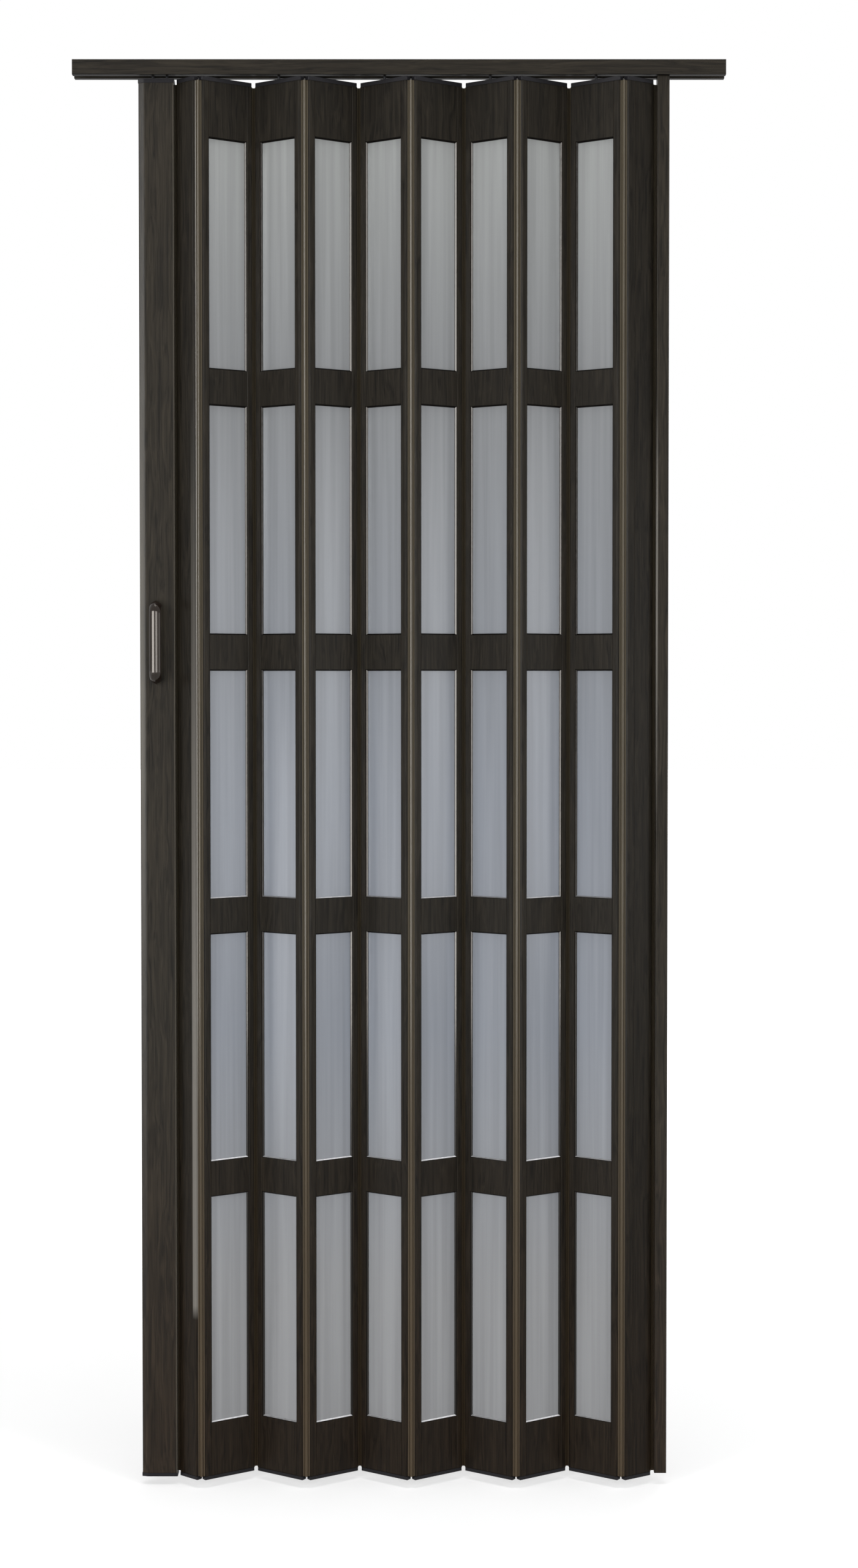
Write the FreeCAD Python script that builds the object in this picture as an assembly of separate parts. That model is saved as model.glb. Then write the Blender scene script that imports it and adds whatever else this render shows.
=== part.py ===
import FreeCAD, Part
import math
import os

# A folding door of plastic extrusions, hanging half folded from its top rail.
# Units are millimetres. The origin is the centre of the rail's top face, X runs along the
# rail from the handle post towards the wall post, Y points away from the front side and
# Z points up, so that all of the door lies below the origin.

# Overall sizes
door_height = 2020.0
rail_length = 924.0
panel_pairs = 4

# Top rail, a C section that is open at the bottom
rail_depth = 34.0
rail_height = 21.5
rail_wall = 1.6
rail_slot = 12.0
rail_slot_return = 3.0
rail_corner = 1.0

# Folding leaf
panel_width = 90.6
fold_depth = 50.8
post_hinge_back = 4.5
handle_panel_run = 34.0
wall_panel_run = 46.4
wall_hinge_x = 363.4
hang_gap = 4.5
panel_thickness = 10.0

# Stiles, the two upright edge sections of each panel
stile_width = 14.2
end_panel_stile_width = 17.4
nose_setback = 4.35
nose_shoulder = 6.0
nose_half_width = 2.05
face_radius = 2.0
edge_chamfer = 0.6
neck_width = 1.4
neck_depth = 1.3
chamber_width = 3.0
chamber_depth = 2.3
groove_depth = 4.2
fit_gap = 0.1

# Rails between the stiles, which leave equal windows
window_rows = 5
cross_rail_height = 48.8
top_rail_height = 78.0
bottom_rail_height = 75.6
rail_recess = 0.4

# Panes and the sloped beads that hold them
pane_thickness = 1.8
bead_top_recess = 1.4
bead_land = 0.7
bead_slope_width = 1.4
bead_slope_drop = 1.9

# Posts
post_thickness = 19.6
handle_post_width = 50.0
wall_post_width = 17.4
post_edge_setback = 2.2
post_recess_half_width = 3.6
post_radius = 1.2
closing_taper_length = 8.0
closing_taper_depth = 2.3
closing_radius = 12.0

# Hinge strips
strip_web = 1.2
strip_lip_start = 2.9
strip_lip_half_width = 1.35
strip_bulb_radius = 1.9
strip_bulb_offset = 0.6
strip_bulb_sides = 10

# End caps
top_cap_height = 5.5
bottom_cap_height = 4.7
cap_proud = 0.6
cap_front_setback = 3.0
cap_inner_setback = 4.9
cap_inner_start = 2.6
cap_back_setback = 6.4
cap_chamfer = 0.8

# Gliders, headed pins that hang the leaf in the rail
glider_pin_radius = 2.0
glider_pin_sides = 8
glider_head_width = 16.0
glider_head_chamfer = 4.0
glider_head_height = 3.0
post_glider_offset = 19.9
post_glider_first = 20.1

# Bow handle
handle_length = 120.0
handle_width = 16.2
handle_reach = 28.0
handle_bar = 10.0
handle_bend = 15.0
handle_centre_drop = 823.0
handle_from_post_edge = 24.0
handle_front_bevels = [(6.0, 0.3), (3.1, 1.7), (0.9, 4.4)]
handle_back_bevel = 1.5
handle_end_steps = 6

# Levels and places that follow from these sizes
cap_top_z = -(rail_height + hang_gap)
leaf_top_z = cap_top_z - top_cap_height
leaf_bottom_z = -(door_height - bottom_cap_height)
frame_height = top_rail_height + bottom_rail_height + (window_rows - 1) * cross_rail_height
window_height = (leaf_top_z - leaf_bottom_z - frame_height) / window_rows
half_thickness = panel_thickness / 2
half_pitch = math.sqrt(panel_width ** 2 - fold_depth ** 2)
front_y = -fold_depth / 2
back_y = fold_depth / 2


def vec(x, y, z=0.0):
    return FreeCAD.Vector(x, y, z)


def rounded_corner(before, here, after, radius):
    """Start, middle and end of the tangent arc of a given radius in the corner at here."""
    to_last = before - here
    to_next = after - here
    half = to_last.getAngle(to_next) / 2
    to_last.normalize()
    to_next.normalize()
    reach = radius / math.tan(half)
    inward = to_last + to_next
    inward.normalize()
    middle = here + inward * (radius / math.sin(half) - radius)
    return here + to_last * reach, middle, here + to_next * reach


def outline(corners):
    """Closed wire through corners (x, y, radius), with a tangent arc at each rounded corner."""
    count = len(corners)
    ends = []
    for i in range(count):
        x, y, radius = corners[i]
        here = vec(x, y)
        if radius == 0:
            ends.append((here, None, here))
            continue
        before = vec(*corners[i - 1][:2])
        after = vec(*corners[(i + 1) % count][:2])
        ends.append(rounded_corner(before, here, after, radius))
    edges = []
    for i in range(count):
        start, arc_point, stop = ends[i]
        if arc_point is not None:
            edges.append(Part.Arc(start, arc_point, stop).toShape())
        following = ends[(i + 1) % count][0]
        if stop.distanceToPoint(following) > 1e-6:
            edges.append(Part.LineSegment(stop, following).toShape())
    return Part.Wire(edges)


def prism(corners, low, high):
    """Upright solid with the given plan outline between two heights."""
    wire = outline(corners)
    wire.translate(vec(0, 0, low))
    return Part.Face(wire).extrude(vec(0, 0, high - low))


def box(x0, x1, y0, y1, z0, z1):
    return Part.makeBox(x1 - x0, y1 - y0, z1 - z0, vec(x0, y0, z0))


def round_bar(radius, sides, x, y, z0, z1):
    """Thin upright bar that is drawn with flat sides, to keep its facets few."""
    corners = []
    for i in range(sides):
        angle = 2 * math.pi * (i + 0.5) / sides
        corners.append((x + radius * math.cos(angle), y + radius * math.sin(angle), 0))
    return prism(corners, z0, z1)


def placed(shape, start, stop):
    """Copy of a shape drawn along +X from the origin, laid from start towards stop."""
    angle = math.degrees(math.atan2(stop[1] - start[1], stop[0] - start[0]))
    copy = shape.copy()
    copy.rotate(vec(0, 0, 0), vec(0, 0, 1), angle)
    copy.translate(vec(*start))
    return copy


def turned(shape, width):
    """Copy of a shape of one panel, turned end for end about the panel's middle."""
    copy = shape.copy()
    copy.rotate(vec(width / 2, 0, 0), vec(0, 0, 1), 180)
    return copy


# The hinge lines, from the handle post to the wall post. Front ones and back ones take
# turns, and the first and last lie at the posts.
def hinge_lines():
    front_last = wall_hinge_x - wall_panel_run
    count = 2 * panel_pairs + 1
    lines = []
    for i in range(count):
        x = front_last - (count - 1 - i) * half_pitch
        y = front_y if i % 2 == 0 else back_y
        lines.append((x, y))
    handle_end = (lines[0][0] - handle_panel_run, post_hinge_back)
    wall_end = (wall_hinge_x, post_hinge_back)
    return [handle_end] + lines + [wall_end]


hinges = hinge_lines()
handle_post_right = hinges[0][0] - post_edge_setback
handle_post_left = handle_post_right - handle_post_width
wall_post_left = hinges[-1][0] + post_edge_setback
wall_post_right = wall_post_left + wall_post_width


def window_spans():
    """Bottom and top height of each window opening, from the top row down."""
    spans = []
    top = leaf_top_z - top_rail_height
    for _ in range(window_rows):
        spans.append((top - window_height, top))
        top -= window_height + cross_rail_height
    return spans


windows = window_spans()


def strip_slot(x, z0, z1):
    """Tool for the T-shaped slot that holds a hinge strip's edge, opening towards -X at x."""
    neck = neck_width / 2
    wide = chamber_width / 2
    start = x + neck_depth
    end = start + chamber_depth
    corners = [
        (x - 1.0, -neck), (start, -neck), (start, -wide), (end, -wide),
        (end, wide), (start, wide), (start, neck), (x - 1.0, neck),
    ]
    return prism([(cx, cy, 0) for cx, cy in corners], z0, z1)


def nose(thickness):
    """Corners of a tapered panel nose at the -X end, from the back face to the front face."""
    half = thickness / 2
    return [
        (nose_shoulder, half, face_radius),
        (nose_setback, nose_half_width, 0),
        (nose_setback, -nose_half_width, 0),
        (nose_shoulder, -half, face_radius),
    ]


def make_stile(width):
    """Edge section with a tapered nose, a slot for the hinge strip and a groove inside."""
    chamfered = half_thickness - edge_chamfer
    corners = nose(panel_thickness) + [
        (width - edge_chamfer, -half_thickness, 0),
        (width, -chamfered, 0),
        (width, chamfered, 0),
        (width - edge_chamfer, half_thickness, 0),
    ]
    body = prism(corners, leaf_bottom_z, leaf_top_z)
    half_groove = pane_thickness / 2 + fit_gap
    groove = box(
        width - groove_depth, width + 1.0, -half_groove, half_groove,
        leaf_bottom_z, leaf_top_z,
    )
    return body.cut(groove.fuse(strip_slot(nose_setback, leaf_bottom_z, leaf_top_z)))


def tongue_end(x, direction):
    """Two ends of a tongue that reaches from x into a stile's groove."""
    half = pane_thickness / 2
    tip = x + direction * (groove_depth - fit_gap)
    return [(x, half), (tip, half), (tip, -half), (x, -half)]


def make_rail(low, high, open_below, open_above):
    """Rail between two stiles, with a tongue at each side and a groove where a pane enters."""
    left = stile_width + fit_gap
    right = panel_width - left
    half = half_thickness - rail_recess
    plain = [(left, half), (left, -half), (right, -half), (right, half)]
    sides = tongue_end(left, -1)
    others = [(x, -y) for x, y in tongue_end(right, 1)]
    corners = plain[:1] + sides + plain[1:3] + others + plain[3:]
    rail = prism([(x, y, 0) for x, y in corners], low, high)
    half_groove = pane_thickness / 2 + fit_gap
    if open_below:
        rail = rail.cut(box(0, panel_width, -half_groove, half_groove, low, low + groove_depth))
    if open_above:
        rail = rail.cut(box(0, panel_width, -half_groove, half_groove, high - groove_depth, high))
    return rail


def make_rails():
    edges = [leaf_top_z]
    for low, high in windows:
        edges += [high, low]
    edges.append(leaf_bottom_z)
    rails = []
    for i in range(0, len(edges), 2):
        rails.append(make_rail(edges[i + 1], edges[i], i + 2 < len(edges), i > 0))
    return rails


def make_pane(low, high):
    """Sheet that sits in the grooves of the stiles and rails round one window."""
    left = stile_width - groove_depth + fit_gap
    reach = groove_depth - fit_gap
    half = pane_thickness / 2
    return box(left, panel_width - left, -half, half, low - reach, high + reach)


def make_bead(low, high, side):
    """Frame that holds a pane on one side: a flat land, a slope and an upright step inwards."""
    left = stile_width + fit_gap
    right = panel_width - left
    low = low + fit_gap
    high = high - fit_gap
    base = pane_thickness / 2
    face = half_thickness - bead_top_recess
    slope_end = face - bead_slope_drop
    inset = bead_land + bead_slope_width
    solid = box(left, right, base, face, low, high)
    opening = box(left + inset, right - inset, base, slope_end, low + inset, high - inset)

    def rectangle(y, margin):
        points = [
            vec(left + margin, y, low + margin),
            vec(right - margin, y, low + margin),
            vec(right - margin, y, high - margin),
            vec(left + margin, y, high - margin),
        ]
        return Part.makePolygon(points + points[:1])

    ends = [rectangle(slope_end, inset), rectangle(face, bead_land)]
    slope = Part.makeLoft(ends, True)
    bead = solid.cut(opening).cut(slope)
    if side < 0:
        bead.rotate(vec(panel_width / 2, 0, 0), vec(0, 0, 1), 180)
    return bead


def make_end_plate(width):
    """Plain part of an end panel, with a nose at the post side and a tongue at the other."""
    half = half_thickness - rail_recess
    edge = width - end_panel_stile_width - fit_gap
    tongue = [(x, -y, 0) for x, y in tongue_end(edge, 1)]
    corners = nose(2 * half) + [(edge, -half, 0)] + tongue + [(edge, half, 0)]
    body = prism(corners, leaf_bottom_z, leaf_top_z)
    return body.cut(strip_slot(nose_setback, leaf_bottom_z, leaf_top_z))


def strip_arm():
    """Half of a hinge strip: web, visible lip, neck and the T-shaped edge in its slot."""
    web = strip_web / 2
    lip_end = nose_setback - fit_gap / 2
    edge = chamber_width / 2 - fit_gap
    edge_start = nose_setback + neck_depth + fit_gap
    edge_end = nose_setback + neck_depth + chamber_depth - fit_gap
    side = [
        (0, web),
        (strip_lip_start, web),
        (strip_lip_start, strip_lip_half_width),
        (lip_end, nose_half_width),
        (lip_end, web),
        (edge_start, web),
        (edge_start, edge),
        (edge_end, edge),
    ]
    corners = side + [(x, -y) for x, y in reversed(side)]
    return prism([(x, y, 0) for x, y in corners], leaf_bottom_z, leaf_top_z)


def hinge_strip(arm, at, before, after, outward):
    """Strip along one hinge line, with an arm towards each of its two neighbours."""
    bulb = round_bar(
        strip_bulb_radius, strip_bulb_sides, at[0], at[1] + outward * strip_bulb_offset,
        leaf_bottom_z, leaf_top_z,
    )
    strip = placed(arm, at, before).fuse([placed(arm, at, after), bulb])
    return strip.removeSplitter()


def cap_corners(width, front_first):
    """Plan of a panel's cap. Its front-hinge end reaches further than its back-hinge end."""
    half = half_thickness + cap_proud
    cut = cap_chamfer
    back = width - cap_back_setback
    corners = [
        (cap_inner_setback, half, 0),
        (cap_front_setback, cap_inner_start, 0),
        (cap_front_setback, cut - half, 0),
        (cap_front_setback + cut, -half, 0),
        (back - cut, -half, 0),
        (back, cut - half, 0),
        (back, half - cut, 0),
        (back - cut, half, 0),
    ]
    if front_first:
        return corners
    return [(width - x, y, radius) for x, y, radius in reversed(corners)]


def make_caps(low, high):
    """Caps of all panels and of the handle post between two heights."""
    caps = []
    for i in range(len(hinges) - 1):
        start, stop = hinges[i], hinges[i + 1]
        width = math.dist(start, stop)
        corners = cap_corners(width, front_first=i % 2 == 1)
        caps.append(placed(prism(corners, low, high), start, stop))
    caps.append(prism(handle_post_corners(cap_proud), low, high))
    return caps


def post_recess(z0, z1):
    """Tool for a post's shallow recess at a hinge line, with the strip slot in its floor."""
    half = post_recess_half_width
    return strip_slot(nose_setback, z0, z1).fuse(box(0, nose_setback, -half, half, z0, z1))


def handle_post_corners(grow):
    """Plan of the leading post, tapered at its closing edge, grown outwards by a margin."""
    left = handle_post_left - grow
    right = handle_post_right + grow
    taper = left + closing_taper_length
    half = post_thickness / 2 + grow
    edge = half - closing_taper_depth
    front = [
        (left, -edge, post_radius), (taper, -half, closing_radius), (right, -half, post_radius),
    ]
    return front + [(x, -y, radius) for x, y, radius in reversed(front)]


def make_handle_post():
    """Leading post with the hinge recess at one side and the tapered closing edge."""
    post = prism(handle_post_corners(0), leaf_bottom_z, leaf_top_z)
    recess = post_recess(leaf_bottom_z, leaf_top_z)
    return post.cut(placed(recess, hinges[0], (hinges[0][0] - 1.0, hinges[0][1])))


def make_wall_post():
    """Fixed post that is screwed to the wall, from the rail down to the leaf's lower end."""
    half = post_thickness / 2
    corners = [
        (wall_post_left, -half, post_radius), (wall_post_right, -half, post_radius),
        (wall_post_right, half, post_radius), (wall_post_left, half, post_radius),
    ]
    post = prism(corners, leaf_bottom_z, -rail_height)
    recess = post_recess(leaf_bottom_z, -rail_height)
    return post.cut(placed(recess, hinges[-1], (hinges[-1][0] + 1.0, hinges[-1][1])))


def make_top_rail():
    """C section with inward lips and short upturned edges beside the slot."""
    half = rail_depth / 2
    inner = half - rail_wall
    slot = rail_slot / 2
    edge = slot + rail_wall
    low = -rail_height
    floor = low + rail_wall
    lip_top = low + rail_slot_return
    section = [
        (-half, 0, rail_corner), (half, 0, rail_corner), (half, low, rail_corner),
        (slot, low, 0), (slot, lip_top, 0), (edge, lip_top, 0), (edge, floor, 0),
        (inner, floor, 0), (inner, -rail_wall, 0), (-inner, -rail_wall, 0), (-inner, floor, 0),
        (-edge, floor, 0), (-edge, lip_top, 0), (-slot, lip_top, 0), (-slot, low, 0),
        (-half, low, rail_corner),
    ]
    wire = outline(section)
    # The section is drawn as (Y, Z), so it is turned upright and then pushed along X.
    wire.rotate(vec(0, 0, 0), vec(1, 1, 1), 120)
    wire.translate(vec(-rail_length / 2, 0, 0))
    return Part.Face(wire).extrude(vec(rail_length, 0, 0))


def make_glider(x):
    """Headed pin whose head runs on the rail's upturned edges."""
    head_low = -rail_height + rail_slot_return
    half = glider_head_width / 2
    near = half - glider_head_chamfer
    corners = [
        (-half, -near), (-near, -half), (near, -half), (half, -near),
        (half, near), (near, half), (-near, half), (-half, near),
    ]
    head = prism([(x + cx, cy, 0) for cx, cy in corners], head_low, head_low + glider_head_height)
    return round_bar(glider_pin_radius, glider_pin_sides, x, 0, cap_top_z, head_low).fuse(head)


def make_gliders():
    """Two gliders on the handle post, and one on each panel that runs from back to front."""
    first = handle_post_left + post_glider_first
    places = [first, first + post_glider_offset]
    for i in range(2, len(hinges) - 2, 2):
        places.append((hinges[i][0] + hinges[i + 1][0]) / 2)
    return [make_glider(x) for x in places]


def make_pull_handle():
    """Bow handle: a bar with rounded front edges that bends back to the post at both ends."""
    face = -post_thickness / 2
    x = handle_post_left + handle_from_post_edge
    low = -handle_centre_drop - (handle_length - handle_bar) / 2
    bend_y = face - handle_reach + handle_bar / 2 + handle_bend
    bend_z = low + handle_bend
    half_width = handle_width / 2
    half_bar = handle_bar / 2
    back_bevel = handle_back_bevel
    right_side = [(half_width - dx, dy - half_bar) for dx, dy in handle_front_bevels]
    right_side += [(half_width, half_bar - back_bevel), (half_width - back_bevel, half_bar)]
    corners = right_side + [(-sx, sy) for sx, sy in reversed(right_side)]
    section = outline([(sx, sy, 0) for sx, sy in corners])
    # The section is drawn as (X, Z) at the lower foot, with the bar's outside facing down.
    section.rotate(vec(0, 0, 0), vec(1, 0, 0), 90)
    section.translate(vec(x, face, low))
    foot = Part.Face(section)
    leg = foot.extrude(vec(0, bend_y - face, 0))
    foot.translate(vec(0, bend_y - face, 0))
    bend = foot.revolve(vec(x, bend_y, bend_z), vec(1, 0, 0), -90)
    foot.rotate(vec(x, bend_y, bend_z), vec(1, 0, 0), -90)
    bar = foot.extrude(vec(0, 0, -handle_centre_drop - bend_z))
    lower = leg.fuse([bend, bar])
    upper = lower.mirror(vec(0, 0, -handle_centre_drop), vec(0, 0, 1))
    bow = lower.fuse(upper).removeSplitter()

    # The front outline, drawn in plan, is turned upright and cuts both ends round.
    ends = []
    for i in range(2 * handle_end_steps + 2):
        upwards = i <= handle_end_steps
        angle = math.pi * (i if upwards else i - 1) / handle_end_steps
        shift = handle_length / 2 - half_width
        along = half_width * math.sin(angle) + (shift if upwards else -shift)
        ends.append((half_width * math.cos(angle), along, 0))
    front = prism(ends, 0, handle_reach + 1.0)
    front.rotate(vec(0, 0, 0), vec(1, 0, 0), 90)
    front.translate(vec(x, face, -handle_centre_drop))
    return bow.common(front)


def save(name, solids):
    shape = solids[0] if len(solids) == 1 else Part.makeCompound(solids)
    shape.exportStep(os.path.join("parts", name + ".step"))
    volume = sum(solid.Volume for solid in solids)
    print("%-20s %2d solids %10.0f mm3 valid %s" % (name, len(solids), volume, shape.isValid()))


def main():
    os.makedirs("parts", exist_ok=True)
    stile = make_stile(stile_width)
    end_stile = make_stile(end_panel_stile_width)
    rails = make_rails()
    panes = [make_pane(low, high) for low, high in windows]
    beads = [make_bead(low, high, side) for low, high in windows for side in (1, -1)]
    arm = strip_arm()

    save("top_rail", [make_top_rail()])
    save("handle_post", [make_handle_post()])
    save("wall_post", [make_wall_post()])
    save("pull_handle", [make_pull_handle()])

    for number in range(1, 2 * panel_pairs + 1):
        start, stop = hinges[number], hinges[number + 1]
        name = "panel_%d_" % number
        stiles = [stile, turned(stile, panel_width)]
        save(name + "stiles", [placed(piece, start, stop) for piece in stiles])
        save(name + "rails", [placed(piece, start, stop) for piece in rails])
        save(name + "panes", [placed(piece, start, stop) for piece in panes])
        save(name + "beads", [placed(piece, start, stop) for piece in beads])

    handle_plate = make_end_plate(math.dist(hinges[0], hinges[1]))
    wall_plate = make_end_plate(math.dist(hinges[-2], hinges[-1]))
    save("handle_end_panel", [
        placed(handle_plate, hinges[0], hinges[1]), placed(end_stile, hinges[1], hinges[0]),
    ])
    save("wall_end_panel", [
        placed(end_stile, hinges[-2], hinges[-1]), placed(wall_plate, hinges[-1], hinges[-2]),
    ])

    front_strips = []
    back_strips = []
    for i in range(1, len(hinges) - 1):
        front = i % 2 == 1
        strip = hinge_strip(arm, hinges[i], hinges[i - 1], hinges[i + 1], -1 if front else 1)
        (front_strips if front else back_strips).append(strip)
    beside_handle_post = (hinges[0][0] - 1.0, hinges[0][1])
    beside_wall_post = (hinges[-1][0] + 1.0, hinges[-1][1])
    back_strips.append(hinge_strip(arm, hinges[0], beside_handle_post, hinges[1], 1))
    back_strips.append(hinge_strip(arm, hinges[-1], hinges[-2], beside_wall_post, 1))
    save("front_hinge_strips", front_strips)
    save("back_hinge_strips", back_strips)

    save("top_caps", make_caps(leaf_top_z, cap_top_z))
    save("bottom_caps", make_caps(-door_height, leaf_bottom_z))
    save("gliders", make_gliders())


main()
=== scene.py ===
import math

import bpy
import numpy as np
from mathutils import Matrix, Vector


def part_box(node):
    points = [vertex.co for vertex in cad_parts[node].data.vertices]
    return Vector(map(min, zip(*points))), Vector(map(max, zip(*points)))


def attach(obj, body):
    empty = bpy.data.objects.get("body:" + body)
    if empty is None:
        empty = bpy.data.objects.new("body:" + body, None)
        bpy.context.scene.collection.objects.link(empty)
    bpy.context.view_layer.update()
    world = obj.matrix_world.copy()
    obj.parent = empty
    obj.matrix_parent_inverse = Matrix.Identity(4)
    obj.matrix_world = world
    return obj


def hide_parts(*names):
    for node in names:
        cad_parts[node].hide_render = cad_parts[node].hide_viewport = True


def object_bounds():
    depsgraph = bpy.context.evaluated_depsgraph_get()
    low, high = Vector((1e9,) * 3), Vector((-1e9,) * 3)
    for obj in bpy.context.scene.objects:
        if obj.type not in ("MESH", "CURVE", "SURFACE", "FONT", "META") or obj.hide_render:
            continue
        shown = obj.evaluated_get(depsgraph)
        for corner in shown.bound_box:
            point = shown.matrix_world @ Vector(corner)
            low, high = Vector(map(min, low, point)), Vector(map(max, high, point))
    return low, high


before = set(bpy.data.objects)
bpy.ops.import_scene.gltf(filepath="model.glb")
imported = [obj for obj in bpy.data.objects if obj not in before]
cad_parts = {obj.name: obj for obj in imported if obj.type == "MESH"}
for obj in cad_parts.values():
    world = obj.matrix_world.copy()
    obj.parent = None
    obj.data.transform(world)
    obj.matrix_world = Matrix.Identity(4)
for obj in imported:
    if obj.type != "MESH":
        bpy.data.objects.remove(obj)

bl_info = {
    "name": "Folding door",
    "version": (1, 0, 0),
    "blender": (4, 5, 0),
    "location": "3D View > Sidebar > Folding door",
    "description": "Finishes and studio for a half folded plastic door with frosted windows",
    "category": "Object",
}

# The door stands as its solids do: metres, X along the rail, Y away from the front, Z up.
cad_low, cad_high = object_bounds()
handle_low, handle_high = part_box("pull_handle")
post_low, post_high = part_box("handle_post")
wall_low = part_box("wall_post")[0]

PANEL_COUNT = 8

# Width and length of one mark in a finish, in metres.
GRAIN_WAVE = (0.03, 0.13)
GRAIN_FIGURE = (0.0042, 0.16)
WORN_PATCH = (0.05, 0.09)
PANE_BAND = (0.011, 0.5)
PANE_GRIT = (0.0007, 0.0007)
BEAD_MARK = (0.0012, 0.08)
BEAD_SPECK = (0.004, 0.004)
STRIP_FLOW = (0.0009, 0.25)
STRIP_CLOUD = (0.01, 0.12)
PLASTIC_CLOUD = (0.018, 0.018)
FLOOR_CLOUD = (0.3, 0.3)
FLUTE_LENGTH = 0.6

# Pairs of heights: at the first a change of finish or of painted light has not begun, at the second
# it is complete.
FOIL_WARMS = (-1.40, -1.95)
STRIP_WARMS = (-1.2, -2.0)
# The pale line on the lower beads is a painted highlight.
BEAD_HIGHLIGHT_HEIGHTS = (-0.95, -1.30)
# The panes' greys by height are painted light: lighter at the top and near the floor, bluish in the
# middle.
PANE_LIGHT_HEIGHTS = ((-0.12, -0.42), (-0.45, -1.05), (-1.38, -1.75))
# The pale lines on the closing edge and on the wall post's edge are painted highlights.
CLOSING_EDGE_HIGHLIGHT_HEIGHTS = ((-0.35, -0.80), (-1.30, -0.95))
WALL_EDGE_HIGHLIGHT_HEIGHTS = ((-0.48, -0.64), (-1.08, -0.80))
END_PANEL_SCUFFS = ((-0.45, -1.35), (-1.79, -1.77))

# Distances in from a post's edge at which its pale line starts and is full: a painted highlight on
# the closing edge and on the wall post's edge, a plain pale line on the inner edge.
CLOSING_EDGE_HIGHLIGHT = (0.0080, 0.0035)
INNER_EDGE_LINE = (0.0018, 0.0008)
WALL_EDGE_HIGHLIGHT = (0.0028, 0.0014)

# Distances past the handle post at which the scuffs on its end panel start and are full.
END_PANEL_RUB = (0.0234, 0.0248)

# Specular levels of the foil on the panels, of the foil on posts and rail, and of the undersides,
# which are painted dark as shade.
PANEL_SHEEN = 0.08
POST_SHEEN = 0.14
UNDERSIDE_SHEEN = 0.01

# How far the foil goes towards the colour of its pale lines: painted highlights on the closing edge
# and the wall post's edge, plain pale lines elsewhere.
EDGE_LINE_SHARE = 0.85


def seen_colour(red, green, blue):
    """Scene colour of a colour given as 0 to 255 on a screen, by the usual screen curve."""
    linear = []
    for value in (red / 255, green / 255, blue / 255):
        linear.append(value / 12.92 if value <= 0.04045 else ((value + 0.055) / 1.055) ** 2.4)
    return tuple(linear)


def colour_value(name, description, default):
    """Property that holds one finish's colour."""
    return bpy.props.FloatVectorProperty(
        name=name,
        description=description,
        default=default,
        subtype="COLOR",
        size=3,
        min=0.0,
        max=1.0,
    )


def length_value(name, description, default):
    """Property that holds a length in metres."""
    return bpy.props.FloatProperty(
        name=name, description=description, default=default, unit="LENGTH", precision=4, min=0.0
    )


def share_value(name, description, default):
    """Property that holds a share between none and all."""
    return bpy.props.FloatProperty(
        name=name, description=description, default=default, min=0.0, max=1.0, subtype="FACTOR"
    )


def lift_value(name, description, default):
    """Property that holds a factor on the lightness of a foil, where 1 leaves it as it is."""
    return bpy.props.FloatProperty(name=name, description=description, default=default, min=0.0)


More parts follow.
